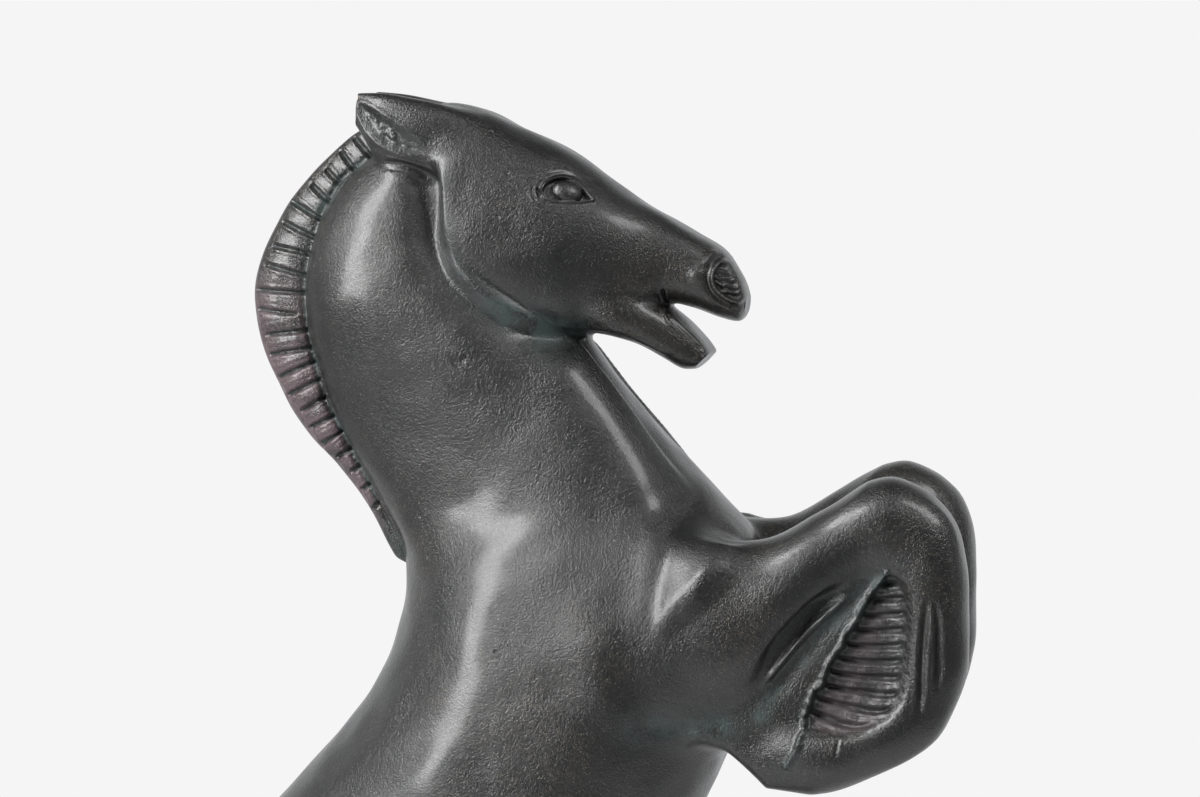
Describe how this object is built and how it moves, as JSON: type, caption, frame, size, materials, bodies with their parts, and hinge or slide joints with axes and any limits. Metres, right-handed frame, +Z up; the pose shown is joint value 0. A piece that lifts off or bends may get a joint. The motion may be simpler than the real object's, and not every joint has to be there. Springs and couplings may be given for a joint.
{
  "type": "rearing horse statuette",
  "caption": "Dark patinated bronze statuette of a rearing horse with a notched upright mane, folded forelegs and its tail as a prop, on a low stone plinth.",
  "frame": {"origin": "middle of the felt's underside, on the surface that the statuette stands on", "axes": "+X the way the horse faces, +Y its left side, +Z up"},
  "size_m": [0.2614, 0.116, 0.4797],
  "materials": {
    "patinated_bronze": "near-black wax patina over cast bronze, fine grain",
    "bare_bronze": "bare drawn bronze, dull",
    "steel_fixings": "plain machined steel",
    "black_stone": "polished black marble with faint grey veins",
    "green_felt": "dark green wool felt"
  },
  "bodies": {
    "root": {"body_casting": "patinated_bronze", "head_casting": "patinated_bronze", "left_foreleg_casting": "patinated_bronze", "right_foreleg_casting": "patinated_bronze", "left_hind_leg_casting": "patinated_bronze", "right_hind_leg_casting": "patinated_bronze", "tail_casting": "patinated_bronze", "terrace_casting": "patinated_bronze", "core_hole_plugs": "patinated_bronze", "head_joint_pins": "bare_bronze", "foreleg_joint_pins": "bare_bronze", "hind_leg_joint_pins": "bare_bronze", "tail_joint_pin": "bare_bronze", "hoof_studs": "steel_fixings", "tail_stud": "steel_fixings", "plinth_washers": "steel_fixings", "plinth_nuts": "steel_fixings", "stone_plinth": "black_stone", "felt_pad": "green_felt"}
  },
  "joints": []
}
